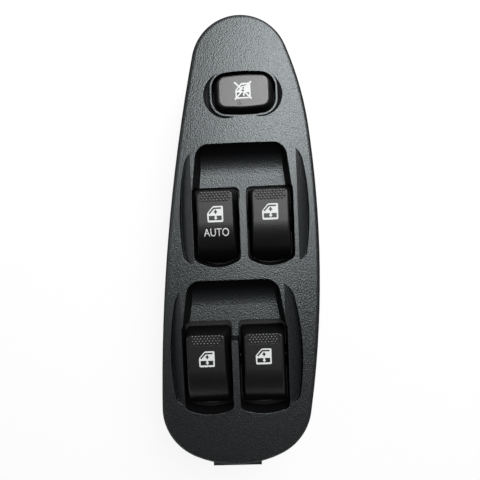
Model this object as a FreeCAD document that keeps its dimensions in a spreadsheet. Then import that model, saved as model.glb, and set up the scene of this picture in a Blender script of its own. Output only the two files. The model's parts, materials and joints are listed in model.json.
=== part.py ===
import FreeCAD, Part

import math
import os
import re

import Sketcher

from FreeCAD import Placement, Rotation, Vector

# Power window switch: a long trim panel with four window keys and a lock button, over a switch body.
# +X runs along the rows of keys, +Y towards the lock button, +Z out of the panel.
# The rear cover lies on z = 0.

doc = FreeCAD.newDocument("PowerWindowSwitch")
sheet = doc.addObject("Spreadsheet::Sheet", "Sizes")

driving = {
    # panel: levels, wall and crown
    "crown_top": 39.0,
    "crown_along": 1400.0,
    "crown_across": 300.0,
    "rim_level": 27.0,
    "panel_wall": 2.4,
    "panel_edge": 2.0,
    "cheek_rise": 3.85,
    "cheek_across": 54.0,
    "under_wall": 1.8,
    # panel outline: three corner circles, four joining arcs
    "end_x": 4.9,
    "end_y": 80.3,
    "end_radius": 21.3,
    "left_foot_x": -13.1,
    "left_foot_y": -72.9,
    "left_foot_radius": 23.5,
    "right_foot_x": 6.7,
    "right_foot_y": -71.6,
    "right_foot_radius": 24.5,
    "left_side_radius": 908.0,
    "foot_radius": 48.1,
    "right_side_radius": 477.0,
    "shoulder_radius": 137.5,
    "shoulder_turn": 21.9,
    # retaining tongue at the foot of the panel
    "tongue_left": -14.7,
    "tongue_right": 7.8,
    "tongue_end": -101.7,
    "tongue_thick": 2.0,
    # finger pockets: front row, then rear row
    "shelf_level": 29.0,
    "scoop_radius": 13.0,
    "pocket_corner": 4.5,
    "pocket_draft": 2.5,
    "opening_shoulder": 2.2,
    "opening_corner": 2.5,
    "front_top": 46.35,
    "front_shelf": 27.5,
    "front_lip": 25.1,
    "front_rim": -7.8,
    "front_rim_bow": 2.6,
    "front_opening": 20.5,
    "front_rib": 3.1,
    "front_middle": 3.75,
    "front_narrowing": 2.2,
    "front_key_face": 15.6,
    "front_key_radius": 19.3,
    "front_key_reach": 13.4,
    "front_key_rear": 18.55,
    "rear_top": -13.1,
    "rear_shelf": -33.4,
    "rear_lip": -37.0,
    "rear_rim": -74.0,
    "rear_rim_bow": 1.9,
    "rear_opening": 22.0,
    "rear_rib": 3.0,
    "rear_middle": -2.1,
    "rear_narrowing": 3.4,
    "rear_key_face": 16.8,
    "rear_key_radius": 20.8,
    "rear_key_reach": 15.2,
    "rear_key_rear": 19.85,
    # keys
    "lip_height": 2.3,
    "key_gap": 0.75,
    "key_wall": 1.5,
    "key_roof": 1.8,
    "key_skirt": 26.5,
    "key_round": 0.8,
    "key_nose": 1.8,
    "grip_depth": 0.5,
    "grip_length": 4.4,
    "grip_margin": 1.3,
    "front_wall_lean": 1.5,
    "pivot_radius": 1.5,
    "pivot_reach": 1.25,
    "pivot_play": 0.08,
    "stem_width": 4.0,
    "stem_depth": 2.4,
    "tip_radius": 1.4,
    "tip_level": 11.9,
    # lock button and its opening with two finger scoops
    "lock_x": 6.0,
    "lock_y": 67.1,
    "lock_opening_length": 27.6,
    "lock_opening_width": 18.0,
    "lock_opening_corner": 6.5,
    "lock_face_length": 21.4,
    "lock_face_width": 12.8,
    "lock_face_corner": 3.0,
    "lock_face_level": 39.9,
    "lock_base_length": 25.9,
    "lock_base_width": 16.4,
    "lock_base_corner": 5.2,
    "lock_base_level": 33.4,
    "lock_skirt_level": 30.2,
    "lock_wall": 1.6,
    "lock_bow": 70.0,
    "lock_ring": 0.8,
    "lock_scoop_offset": 7.6,
    "lock_scoop_radius": 10.1,
    "lock_scoop_depth": 4.0,
    # switch body behind the panel
    "body_top": 48.7,
    "body_foot": -77.3,
    "body_top_left": -19.4,
    "body_top_right": 30.2,
    "body_foot_left": -30.5,
    "body_foot_right": 23.8,
    "body_corner": 3.0,
    "body_wall": 1.8,
    "deck": 2.0,
    "cover_plate": 2.2,
    "lock_bay_left": -9.3,
    "lock_bay_right": 21.2,
    "lock_bay_top": 80.6,
    "tub_floor": 23.2,
    "tub_plate": 1.6,
    "tub_wall": 1.2,
    "tub_slot": 5.4,
    "bearing_wall": 1.8,
    "bearing_half": 5.0,
    "bearing_foot": 15.5,
    # circuit board and what stands on it
    "board_level": 5.6,
    "board_thick": 1.6,
    "board_gap": 0.6,
    "track_thick": 0.4,
    "slider_low": 9.0,
    "slider_high": 13.0,
    "slider_width": 7.0,
    "slider_half": 6.0,
    "guide_low": 8.6,
    "guide_high": 12.6,
    "guide_room": 11.0,
    "guide_wall": 1.6,
    "slide_play": 0.1,
    "relay_length": 15.5,
    "relay_width": 12.2,
    "relay_height": 14.0,
    "header_left": -16.0,
    "header_right": 10.0,
    "header_front": -79.5,
    "header_back": -67.5,
    "header_high": 17.6,
    "header_wall": 1.6,
    "header_web": 3.6,
    "pin_side": 0.8,
    "pin_pitch": 3.2,
    "pin_low_row": 10.3,
    "pin_high_row": 14.5,
    "pin_tip": -74.5,
    # spring clip at the top end
    "clip_line": 93.0,
    "clip_foot": 18.95,
    # capacitor, control chip and lock switch
    "capacitor_x": 4.5,
    "capacitor_y": -20.0,
    "capacitor_radius": 4.0,
    "capacitor_height": 10.5,
    "chip_x": -9.0,
    "chip_y": -20.0,
    "chip_length": 12.8,
    "chip_width": 7.5,
    "chip_height": 2.4,
    "case_half": 5.0,
    "case_high": 20.0,
    "plunger_half": 2.4,
    "plunger_low": 13.5,
    "coil_radius": 5.8,
    "coil_wire": 0.35,
    "coil_turns": 4,
    # screws
    "screw_radius": 1.45,
    "screw_head_radius": 2.8,
    "screw_head": 1.5,
    "boss_radius": 3.2,
    "ear_half": 4.2,
}

for line, (alias, number) in enumerate(driving.items(), start=1):
    sheet.set(f"A{line}", alias)
    sheet.set(f"B{line}", str(number))
    sheet.setAlias(f"B{line}", alias)
doc.recompute()


def size(alias):
    return float(sheet.get(alias))


def formula(text):
    return re.sub(r"[a-z_]{3,}", lambda word: f"Sizes.{word[0]}" if word[0] in driving else word[0],
                  str(text))


# General shapes

def block(name, x, y, z):
    box = doc.addObject("Part::Box", name)
    for side, axis, (low, high) in zip(("Length", "Width", "Height"), "xyz", (x, y, z)):
        box.setExpression(side, formula(f"({high}) - ({low})"))
        box.setExpression(f"Placement.Base.{axis}", formula(low))
    return box


def rod(name, radius, start, length, along="z"):
    turns = {"x": Rotation(Vector(0, 1, 0), 90), "y": Rotation(Vector(1, 0, 0), -90), "z": Rotation()}
    cylinder = doc.addObject("Part::Cylinder", name)
    cylinder.Placement = Placement(Vector(), turns[along])
    cylinder.setExpression("Radius", formula(radius))
    cylinder.setExpression("Height", formula(length))
    for axis, place in zip("xyz", start):
        cylinder.setExpression(f"Placement.Base.{axis}", formula(place))
    return cylinder


def join(name, *pieces):
    whole = doc.addObject("Part::MultiFuse", name)
    whole.Shapes = list(pieces)
    whole.Refine = True
    return whole


def overlap(name, *pieces):
    common = doc.addObject("Part::MultiCommon", name)
    common.Shapes = list(pieces)
    return common


def cut(name, base, *tools):
    rest = doc.addObject("Part::Cut", name)
    rest.Base = base
    rest.Tool = tools[0] if len(tools) == 1 else join(f"{name}_tools", *tools)
    rest.Refine = True
    return rest


def drawing(name, edges, level="0", upright=None):
    """A sketch of computed edges, flat at a level, or upright in the XZ or YZ plane."""
    sketch = doc.addObject("Sketcher::SketchObject", name)
    planes = {None: Rotation(), "xz": Rotation(Vector(1, 0, 0), 90), "yz": Rotation(0.5, 0.5, 0.5, 0.5)}
    sketch.Placement = Placement(Vector(), planes[upright])
    axis = {None: "z", "xz": "y", "yz": "x"}[upright]
    sketch.setExpression(f"Placement.Base.{axis}", formula(level))
    for edge in edges:
        sketch.addGeometry(edge)
    return sketch


def extrusion(name, sketch, length, direction=Vector(0, 0, 1)):
    solid = doc.addObject("Part::Extrusion", name)
    solid.Base = sketch
    solid.DirMode = "Custom"
    solid.Dir = direction
    solid.setExpression("LengthFwd", formula(length))
    solid.Solid = True
    return solid


def loft(name, *sketches):
    solid = doc.addObject("Part::Loft", name)
    solid.Sections = list(sketches)
    solid.Solid = True
    solid.Ruled = True
    return solid


def rounded(name, base, radius, chosen):
    """Rounds the edges of base that chosen() accepts."""
    doc.recompute()
    fillet = doc.addObject("Part::Fillet", name)
    fillet.Base = base
    fillet.Edges = [(number, radius, radius) for number, edge in enumerate(base.Shape.Edges, start=1) if chosen(edge)]
    return fillet


def middle(edge):
    return edge.valueAt((edge.FirstParameter + edge.LastParameter) / 2)


# Outlines: circles joined by larger arcs that touch them, taken counterclockwise

def polar(centre, radius, angle):
    return Vector(centre.x + radius * math.cos(angle), centre.y + radius * math.sin(angle), 0)


def joining_centre(first, second, radius):
    """Centre of the arc that wraps two circles, each given as (centre, radius)."""
    a, b = radius - first[1], radius - second[1]
    gap = second[0] - first[0]
    along = (a * a - b * b + gap.Length ** 2) / (2 * gap.Length)
    across = math.sqrt(a * a - along * along)
    unit = gap / gap.Length
    return first[0] + unit * along + Vector(-unit.y, unit.x, 0) * across


def bearing(start, end):
    return math.atan2(end.y - start.y, end.x - start.x)


def arc(centre, radius, start, end):
    while end < start:
        end += 2 * math.pi
    points = [polar(centre, radius, start + (end - start) * part) for part in (0, 0.5, 1)]
    return Part.Arc(*points)


def wrapped(circles, joins, grow=0.0):
    """Arcs round circles [(centre, radius)], with the radius of the arc that joins each to the next."""
    circles = [(centre, radius + grow) for centre, radius in circles]
    joins = [radius + grow for radius in joins]
    following = circles[1:] + circles[:1]
    centres = [joining_centre(*pair, radius) for *pair, radius in zip(circles, following, joins)]
    edges = []
    for number, (centre, radius) in enumerate(circles):
        arriving = bearing(centres[number - 1], centre)
        leaving = bearing(centres[number], centre)
        edges.append(arc(centre, radius, arriving, leaving))
        next_centre = following[number][0]
        edges.append(arc(centres[number], joins[number], leaving, bearing(centres[number], next_centre)))
    return edges


def bowed_box(x, y, length, width, corner, bow, grow=0.0):
    """A rectangle with round corners and slightly bowed sides."""
    half_x, half_y = length / 2 - corner, width / 2 - corner
    corners = [Vector(x + a * half_x, y + b * half_y, 0) for a, b in ((1, 1), (-1, 1), (-1, -1), (1, -1))]
    return wrapped([(centre, corner) for centre in corners], [bow] * 4, grow)


def panel_outline(grow=0.0):
    turn = math.radians(size("shoulder_turn"))
    end = Vector(size("end_x"), size("end_y"), 0)
    shoulder = polar(end, size("end_radius") - size("shoulder_radius"), turn)
    left = (Vector(size("left_foot_x"), size("left_foot_y"), 0), size("left_foot_radius"))
    right = (Vector(size("right_foot_x"), size("right_foot_y"), 0), size("right_foot_radius"))
    left_side = joining_centre((end, size("end_radius")), left, size("left_side_radius"))
    foot = joining_centre(left, right, size("foot_radius"))
    right_side = joining_centre(right, (shoulder, size("shoulder_radius")), size("right_side_radius"))
    stations = [
        (end, size("end_radius"), turn, bearing(left_side, end)),
        (left_side, size("left_side_radius"), bearing(left_side, end), bearing(left_side, left[0])),
        (left[0], left[1], bearing(left_side, left[0]), bearing(foot, left[0])),
        (foot, size("foot_radius"), bearing(foot, left[0]), bearing(foot, right[0])),
        (right[0], right[1], bearing(foot, right[0]), bearing(right_side, right[0])),
        (right_side, size("right_side_radius"), bearing(right_side, right[0]), bearing(right_side, shoulder)),
        (shoulder, size("shoulder_radius"), bearing(right_side, shoulder), turn),
    ]
    return [arc(centre, radius + grow, start, stop) for centre, radius, start, stop in stations]


def polygon(points):
    return [Part.LineSegment(a, b) for a, b in zip(points, points[1:] + points[:1])]


def rounded_polygon(points, corner):
    """Straight sides with one radius at every corner, points counterclockwise."""
    edges, tangents = [], []
    for before, here, after in zip(points[-1:] + points[:-1], points, points[1:] + points[:1]):
        one, two = (before - here).normalize(), (after - here).normalize()
        half = one.getAngle(two) / 2
        reach = corner / math.tan(half)
        bisector = (one + two).normalize()
        depth = corner / math.sin(half) - corner
        tangents.append((here + one * reach, here + bisector * depth, here + two * reach))
    for number, (start, top, stop) in enumerate(tangents):
        edges.append(Part.Arc(start, top, stop))
        edges.append(Part.LineSegment(stop, tangents[(number + 1) % len(tangents)][0]))
    return edges


# Panel

rows = ("front", "rear")
panel_screws = [(-13.0, 53.0), (24.4, 53.0), (-17.0, -85.0), (10.0, -85.0)]


def crown(name, depth, across="crown_across", place=0.0, reach=60.0):
    """Everything under the panel's crowned surface, or under one sunk by depth and curved more across."""
    low = 0.0
    radius = size(across) - depth
    centre = size("crown_top") - size(across)
    edge = centre + math.sqrt(radius ** 2 - reach ** 2)
    corners = [Vector(place + reach, edge, 0), Vector(place - reach, edge, 0)]
    top = Part.Arc(corners[0], Vector(place, centre + radius, 0), corners[1])
    sides = [Part.LineSegment(corners[1], Vector(place - reach, low, 0)),
             Part.LineSegment(Vector(place - reach, low, 0), Vector(place + reach, low, 0)),
             Part.LineSegment(Vector(place + reach, low, 0), corners[0])]
    profile = drawing(f"{name}_profile", [top] + sides, upright="xz")
    turned = doc.addObject("Part::Revolution", name)
    turned.Source = profile
    turned.Axis = Vector(1, 0, 0)
    turned.setExpression("Base.z", formula("crown_top - crown_along"))
    turned.Angle = 10
    turned.Symmetric = True
    turned.Solid = True
    return turned


def prism(name, edges, low, high):
    return extrusion(name, drawing(f"{name}_outline", edges, low), f"({high}) - ({low})")


def opening_edges(left, right, top, rim, bow, corner, grow=0.0, shoulder=0.0):
    """A key opening: shoulders at the shelf, a bowed rim with round corners at the foot."""
    left, right, top, rim = left - grow, right + grow, top + grow, rim - grow
    foot = rim + bow
    sink = foot - bow * 2 * corner / (right - left)
    west_foot, east_foot = Vector(left + corner, sink, 0), Vector(right - corner, sink, 0)
    edges = [Part.LineSegment(Vector(right - shoulder, top, 0), Vector(left + shoulder, top, 0)),
             Part.LineSegment(Vector(left, top - shoulder, 0), Vector(left, foot + corner, 0)),
             Part.Arc(Vector(left, foot + corner, 0),
                      Vector(left + 0.25 * corner, foot + 0.25 * corner, 0), west_foot),
             Part.Arc(west_foot, Vector((left + right) / 2, rim, 0), east_foot),
             Part.Arc(east_foot, Vector(right - 0.25 * corner, foot + 0.25 * corner, 0),
                      Vector(right, foot + corner, 0)),
             Part.LineSegment(Vector(right, foot + corner, 0), Vector(right, top - shoulder, 0))]
    if shoulder:
        inset = shoulder * (1 - math.sqrt(0.5))
        edges.insert(1, Part.Arc(Vector(left + shoulder, top, 0), Vector(left + inset, top - inset, 0),
                                 Vector(left, top - shoulder, 0)))
        edges.append(Part.Arc(Vector(right, top - shoulder, 0), Vector(right - inset, top - inset, 0),
                              Vector(right - shoulder, top, 0)))
    return edges


def key_centre(row, side):
    return size(f"{row}_middle") + side * (size(f"{row}_rib") + size(f"{row}_opening")) / 2


def pocket_plan(row, grow=0.0, beyond=0.0):
    """Corners of the finger pocket before the keys, narrower at its top edge, its sides carried on beyond."""
    centre, narrowing = size(f"{row}_middle"), size(f"{row}_narrowing")
    top, foot = size(f"{row}_top"), size(f"{row}_shelf") - 1
    low = size(f"{row}_opening") + size(f"{row}_rib") / 2 + grow
    high = low - narrowing
    low += narrowing * beyond / (top - foot)
    return [Vector(centre + low, foot - beyond, 0), Vector(centre + high, top + grow, 0),
            Vector(centre - high, top + grow, 0), Vector(centre - low, foot - beyond, 0)]


# Corners of the cheek fields, each as (centre, radius): upper left, lower left, lower right, upper right.
field_corners = {
    "front": [((-10.5, 34.3), 11.2), ((-18.7, -1.2), 4.6), ((26.6, -1.6), 4.6), ((21.0, 35.7), 9.8)],
    "rear": [((-17.6, -25.9), 11.0), ((-25.4, -65.0), 4.8), ((21.8, -65.2), 4.8), ((14.8, -24.6), 10.4)],
}


field_sides = [120.0, 900.0, 110.0, 300.0]


def cheek_field(row, grow=0.0):
    """The hollowed cheeks on both sides of a row: four corners and the long arcs that join them."""
    circles = [(Vector(*centre, 0), radius) for centre, radius in field_corners[row]]
    return wrapped(circles, field_sides, grow)


def key_opening(row, side, grow=0.0, shoulder=0.0):
    """Outline of one key's opening in its row."""
    centre, half = key_centre(row, side), size(f"{row}_opening") / 2
    return opening_edges(centre - half, centre + half, size(f"{row}_shelf"), size(f"{row}_rim"),
                         size(f"{row}_rim_bow"), size("opening_corner"), grow, shoulder)


def finger_scoop(row):
    """The pocket before a row of keys: drafted side walls and a back wall that curves up from the shelf."""
    draft, corner = size("pocket_draft"), size("pocket_corner")
    low, high = pocket_plan(row, -draft, 12), pocket_plan(row, 0, 12)
    foot = drawing(f"{row}_scoop_low", rounded_polygon(low, corner), "shelf_level - 1")
    mouth = drawing(f"{row}_scoop_high", rounded_polygon(high, corner + draft), "crown_top + 1")
    bowl = loft(f"{row}_scoop_loft", foot, mouth)
    top, start, radius = size(f"{row}_top"), size(f"{row}_shelf") - 1, size("scoop_radius")
    floor, ceiling = size("shelf_level"), size("crown_top") + 1
    inner = radius * (1 - math.sqrt(0.5))
    path = [Part.LineSegment(Vector(start, floor, 0), Vector(top - radius, floor, 0)),
            Part.Arc(Vector(top - radius, floor, 0), Vector(top - inner, floor + inner, 0),
                     Vector(top, floor + radius, 0)),
            Part.LineSegment(Vector(top, floor + radius, 0), Vector(top, ceiling, 0)),
            Part.LineSegment(Vector(top, ceiling, 0), Vector(start, ceiling, 0)),
            Part.LineSegment(Vector(start, ceiling, 0), Vector(start, floor, 0))]
    profile = drawing(f"{row}_scoop_profile", path, str(-panel_reach), upright="yz")
    run = extrusion(f"{row}_scoop_run", profile, 2 * panel_reach, Vector(1, 0, 0))
    return overlap(f"{row}_scoop", bowl, run)


def cheeks(row):
    """Hollows beside a row's keys, with a floor that rises towards the keys, and the skin left below it."""
    shape = ("cheek_across", size(f"{row}_middle"), 40.0)
    floor = crown(f"{row}_field_floor", -size("cheek_rise"), *shape)
    under = crown(f"{row}_field_under", size("panel_wall") - size("cheek_rise"), *shape)
    deep = drawing(f"{row}_field_low", cheek_field(row, -1.1), "crown_top - 7")
    high = drawing(f"{row}_field_high", cheek_field(row, 0.9), "crown_top + 4")
    field = cut(f"{row}_field", loft(f"{row}_field_loft", deep, high), floor)
    centre, half = f"{row}_middle", f"{row}_opening + {row}_rib / 2"
    spine = block(f"{row}_spine", (f"{centre} - {half} + 4", f"{centre} + {half} - 4"),
                  (f"{row}_rim - 6", f"{row}_shelf - 6"), ("rim_level", over_panel))
    backing = prism(f"{row}_field_wall", cheek_field(row, size("under_wall")), "rim_level + 2", over_panel)
    return cut(f"{row}_cheeks", field, spine), cut(f"{row}_field_skin", backing, under)


def lock_crescent(side, tag, outline):
    """Finger hollow beside the lock button: a dished crescent outside the ring round the button's opening."""
    curve = "(lock_scoop_radius ^ 2 + lock_scoop_depth ^ 2) / (2 * lock_scoop_depth)"
    dish = doc.addObject("Part::Sphere", f"lock_scoop_{tag}")
    dish.setExpression("Radius", formula(curve))
    dish.setExpression("Placement.Base.x", formula(f"lock_x + {side} * lock_scoop_offset"))
    dish.setExpression("Placement.Base.y", formula("lock_y - 0.1"))
    dish.setExpression("Placement.Base.z", formula(
        f"crown_top - lock_y ^ 2 / (2 * crown_along) - lock_scoop_depth + {curve}"))
    ring = prism(f"lock_ring_{tag}", bowed_box(*outline, size("lock_ring")), "rim_level", over_panel)
    return cut(f"lock_crescent_{tag}", dish, ring)


panel_reach = 60.0
over_panel = "crown_top + 6"


def panel():
    surface = crown("crown_surface", 0)
    lining = crown("crown_lining", size("panel_wall"))
    outer = overlap("panel_block", prism("panel_prism", panel_outline(), "rim_level", "crown_top + 5"), surface)
    doc.recompute()
    top_edges = [edge for edge in outer.Shape.Edges if middle(edge).z > 30 and edge.BoundBox.ZLength < 6
                 and max(edge.BoundBox.XLength, edge.BoundBox.YLength) > 1]
    outer = rounded("panel_rounded", outer, size("panel_edge"),
                    lambda edge: any(edge.isSame(known) for known in top_edges))
    inside = overlap("panel_inside", prism("inside_prism", panel_outline(-size("panel_wall")),
                                           "rim_level - 1", "crown_top + 5"), lining)
    cuts, kept = [], []
    wall = size("under_wall")
    for row in rows:
        hollows, skin = cheeks(row)
        cuts += [hollows, finger_scoop(row)]
        walls = rounded_polygon(pocket_plan(row, wall), size("pocket_corner") + wall)
        kept += [skin, prism(f"{row}_scoop_wall", walls, "rim_level - 2", over_panel)]
        for side, tag in ((-1, "left"), (1, "right")):
            plan = key_opening(row, side, 0, size("opening_shoulder"))
            cuts.append(prism(f"{row}_{tag}_opening", plan, "rim_level - 3", over_panel))
            kept.append(prism(f"{row}_{tag}_wall", key_opening(row, side, wall), "rim_level - 2", over_panel))
        cuts.append(block(f"{row}_rib_front", (f"{row}_middle - {row}_rib", f"{row}_middle + {row}_rib"),
                          (f"{row}_lip - 3.4", f"{row}_shelf + 0.5"), ("shelf_level", over_panel)))
    lock = (size("lock_x"), size("lock_y"), size("lock_opening_length"), size("lock_opening_width"),
            size("lock_opening_corner"), size("lock_bow"))
    cuts.append(prism("lock_opening", bowed_box(*lock), "rim_level - 3", over_panel))
    kept.append(prism("lock_well", bowed_box(*lock, wall), "rim_level - 2", over_panel))
    for side, tag in ((-1, "left"), (1, "right")):
        cuts.append(lock_crescent(side, tag, lock))
        kept.append(rod(f"lock_shield_{tag}", "lock_scoop_radius + 1",
                        (f"lock_x + {side} * lock_scoop_offset", "lock_y - 0.1", "rim_level + 4"), "20"))
    for number, (x, y) in enumerate(panel_screws):
        kept.append(rod(f"panel_boss_{number}", "boss_radius", (str(x), str(y), "rim_level - 2"), "20"))
        cuts.append(rod(f"panel_pilot_{number}", "screw_radius", (str(x), str(y), "rim_level - 1"), "7"))
    blade_x = ("end_x - 5.5", "end_x + 5.5")
    blade_y = ("clip_line - 0.8", "clip_line + 0.8")
    kept.append(block("clip_blade_keep", blade_x, blade_y, ("rim_level - 2", "crown_top")))
    shell = cut("panel_shell", outer, cut("panel_hollow", inside, *kept), *cuts)
    tongue = block("tongue", ("tongue_left", "tongue_right"), ("tongue_end", "-94"),
                   ("rim_level", "rim_level + tongue_thick"))
    hanger = block("clip_blade", blade_x, blade_y, ("clip_foot", "rim_level + 1"))
    return join("bezel", shell, tongue, hanger)


# Keys

def key_pivot(row):
    """Height and place along Y of the axis that a row's keys tilt on."""
    level = size("crown_top") + size("lip_height") - size(f"{row}_key_radius")
    return size(f"{row}_lip") - size(f"{row}_key_reach"), level


def key_profile(row, shrink, foot, rear):
    """Side view about the pivot: flat top behind the lip, round back about the pivot, leaning front wall."""
    y, z = key_pivot(row)
    radius = size(f"{row}_key_radius") - shrink
    front = size(f"{row}_key_reach") - shrink
    lean = size("front_wall_lean")
    back = math.sqrt(radius ** 2 - rear ** 2)
    points = [Vector(y + front, z + radius, 0), Vector(y, z + radius, 0), Vector(y - rear, z + back, 0)]
    bend = polar(Vector(y, z, 0), radius, math.radians(90) + math.asin(rear / radius) / 2)
    base = Vector(y - rear, foot, 0)
    toe = Vector(y + front + lean, foot, 0)
    return [Part.LineSegment(points[0], points[1]), Part.Arc(points[1], bend, points[2]),
            Part.LineSegment(points[2], base), Part.LineSegment(base, toe), Part.LineSegment(toe, points[0])]


def key_section(row, centre, shrink, foot):
    """Front view: drafted flanks above the skirt line, upright below it."""
    face = size(f"{row}_key_face") / 2 - shrink
    base = size(f"{row}_opening") / 2 - size("key_gap") - shrink
    top, skirt = size("crown_top") + size("lip_height"), size("key_skirt") + 1
    points = [Vector(centre - face, top, 0), Vector(centre - base, skirt, 0), Vector(centre - base, foot, 0),
              Vector(centre + base, foot, 0), Vector(centre + base, skirt, 0), Vector(centre + face, top, 0)]
    return polygon(points)


def window_key(name, row, side):
    y, z = key_pivot(row)
    centre = key_centre(row, side)
    rear = size(f"{row}_key_rear")
    low = z - 3.2
    wall, roof = size("key_wall"), size("key_roof")
    half = size(f"{row}_opening") / 2 - size("key_gap")
    outer_view = drawing(f"{name}_side_view", key_profile(row, 0, low, rear), centre - 15, "yz")
    run = extrusion(f"{name}_run", outer_view, 30, Vector(1, 0, 0))
    front_view = drawing(f"{name}_front_view", key_section(row, centre, 0, low), 60, "xz")
    breadth = extrusion(f"{name}_breadth", front_view, 150, Vector(0, -1, 0))
    opening = size(f"{row}_opening") / 2
    plan = opening_edges(centre - opening, centre + opening, y + 20, y - rear - 0.75,
                         size(f"{row}_rim_bow"), size("opening_corner"), -size("key_gap"))
    crest = size("crown_top") + size("lip_height") - 0.01
    front_wall = y + size(f"{row}_key_reach")
    nosed = rounded(f"{name}_nosed", overlap(f"{name}_block", run, breadth), size("key_nose"),
                    lambda edge: edge.BoundBox.YMin > front_wall - 0.1 and edge.BoundBox.ZLength > 1)
    rough = rounded(f"{name}_rounded", nosed, size("key_round"),
                    lambda edge: edge.BoundBox.ZMax > crest
                    and not (edge.BoundBox.YLength < 0.1 and middle(edge).y < y + 2))
    solid = overlap(f"{name}_solid", rough, prism(f"{name}_plan", plan, low - 1, "crown_top + 5"))
    inner_view = drawing(f"{name}_hollow_view", key_profile(row, roof, low - 2, rear - 2.6), centre - 15, "yz")
    hollow_run = extrusion(f"{name}_hollow_run", inner_view, 30, Vector(1, 0, 0))
    hollow_breadth = extrusion(f"{name}_hollow_breadth",
                               drawing(f"{name}_hollow_front", key_section(row, centre, wall, low - 2), 60, "xz"),
                               150, Vector(0, -1, 0))
    hollow = overlap(f"{name}_hollow", hollow_run, hollow_breadth)
    notches = [block(f"{name}_notch_{tag}", (centre - 15, centre + 15), (start, stop), (low - 1, "key_skirt"))
               for tag, start, stop in (("front", y + 4.2, y + 20), ("rear", y - 24, y - 4.2))]
    face, lip = size(f"{row}_key_face") / 2 - size("grip_margin"), size(f"{row}_lip")
    grip = block(f"{name}_grip", (centre - face, centre + face), (f"{lip} - grip_length", f"{lip} + 1"),
                 ("crown_top + lip_height - grip_depth", "crown_top + lip_height + 1"))
    shell = cut(f"{name}_shell", solid, hollow, grip, *notches)
    stem_half, depth = size("stem_width") / 2, size("stem_depth") / 2
    stem = block(f"{name}_stem", (centre - stem_half, centre + stem_half), (y - depth, y + depth),
                 ("tip_level", z + size(f"{row}_key_radius") - roof / 2))
    web = block(f"{name}_web", (centre - half + 0.4, centre + half - 0.4), (y - 0.7, y + 0.7),
                (z + 6, z + size(f"{row}_key_radius") - roof / 2))
    web = overlap(f"{name}_web_fit", web, breadth)
    tip = rod(f"{name}_tip", "tip_radius", (centre - stem_half, y, "tip_level"), "stem_width", "x")
    reach = size("pivot_reach") + 0.75
    pins = [rod(f"{name}_pin_{tag}", "pivot_radius", (start, y, z), reach + 0.5, "x")
            for tag, start in (("left", centre - half - reach), ("right", centre + half - 0.5))]
    return join(name, shell, stem, web, tip, *pins)


# Lock button

def lock_plate(name, level, stage, grow=0.0):
    outline = bowed_box(size("lock_x"), size("lock_y"), size(f"lock_{stage}_length"),
                        size(f"lock_{stage}_width"), size(f"lock_{stage}_corner"), size("lock_bow"), grow)
    return drawing(name, outline, level)


def lock_button():
    wall = size("lock_wall")
    top = loft("lock_cap", lock_plate("lock_base_line", "lock_base_level", "base"),
               lock_plate("lock_face_line", "lock_face_level", "face"))
    doc.recompute()
    face = size("lock_face_level")
    top = rounded("lock_cap_rounded", top, 0.8, lambda edge: edge.BoundBox.ZMin > face - 0.01)
    skirt = extrusion("lock_skirt", lock_plate("lock_skirt_line", "lock_skirt_level", "base"),
                      "lock_base_level - lock_skirt_level")
    hollow = loft("lock_hollow", lock_plate("lock_hollow_low", "lock_base_level", "base", -wall),
                  lock_plate("lock_hollow_high", face - wall, "face", -wall - 0.4))
    mouth = extrusion("lock_mouth", lock_plate("lock_mouth_line", "lock_skirt_level - 1", "base", -wall),
                      "lock_base_level - lock_skirt_level + 1")
    socket = block("lock_socket", ("lock_x - plunger_half - 1.2", "lock_x + plunger_half + 1.2"),
                   ("lock_y - plunger_half - 1.2", "lock_y + plunger_half + 1.2"),
                   ("lock_skirt_level + 1", face - 1))
    seat = block("lock_seat", ("lock_x - plunger_half", "lock_x + plunger_half"),
                 ("lock_y - plunger_half", "lock_y + plunger_half"), ("lock_skirt_level", face - 3))
    cap = cut("lock_cap_shell", join("lock_cap_skirt", top, skirt), hollow, mouth)
    return cut("lock_button", join("lock_button_block", cap, socket), seat)


def lock_spring():
    """Coil spring round the plunger: half turns that each lean by their own rise and meet end to end."""
    low, high = size("rim_level") + size("coil_wire"), size("lock_base_level") + 0.4
    count = 2 * int(size("coil_turns"))
    rise = (high - low) / count
    tilt = math.degrees(math.atan2(rise / 2, size("coil_radius")))
    halves = []
    for step in range(count):
        half = doc.addObject("Part::Torus", f"lock_coil_{step}")
        half.Radius1 = math.hypot(size("coil_radius"), rise / 2)
        half.Radius2 = size("coil_wire")
        half.Angle3 = 180
        place = Vector(size("lock_x"), size("lock_y"), low + rise * (step + 0.5))
        if step % 2:
            half.Placement = Placement(place, Rotation(Vector(0, 1, 0), -tilt) * Rotation(Vector(0, 0, 1), 180))
        else:
            half.Placement = Placement(place, Rotation(Vector(0, 1, 0), tilt))
        halves.append(half)
    return join("lock_spring", *halves)


# Pieces made from sketches in bodies

def new_body(name):
    return doc.addObject("PartDesign::Body", name)


def body_sketch(owner, name, role="XY_Plane", level="0"):
    sketch = owner.newObject("Sketcher::SketchObject", name)
    plane = next(plane for plane in owner.Origin.OriginFeatures if plane.Role == role)
    sketch.AttachmentSupport = [(plane, "")]
    sketch.MapMode = "FlatFace"
    sketch.setExpression("AttachmentOffset.Base.z", formula(level))
    return sketch


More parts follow.
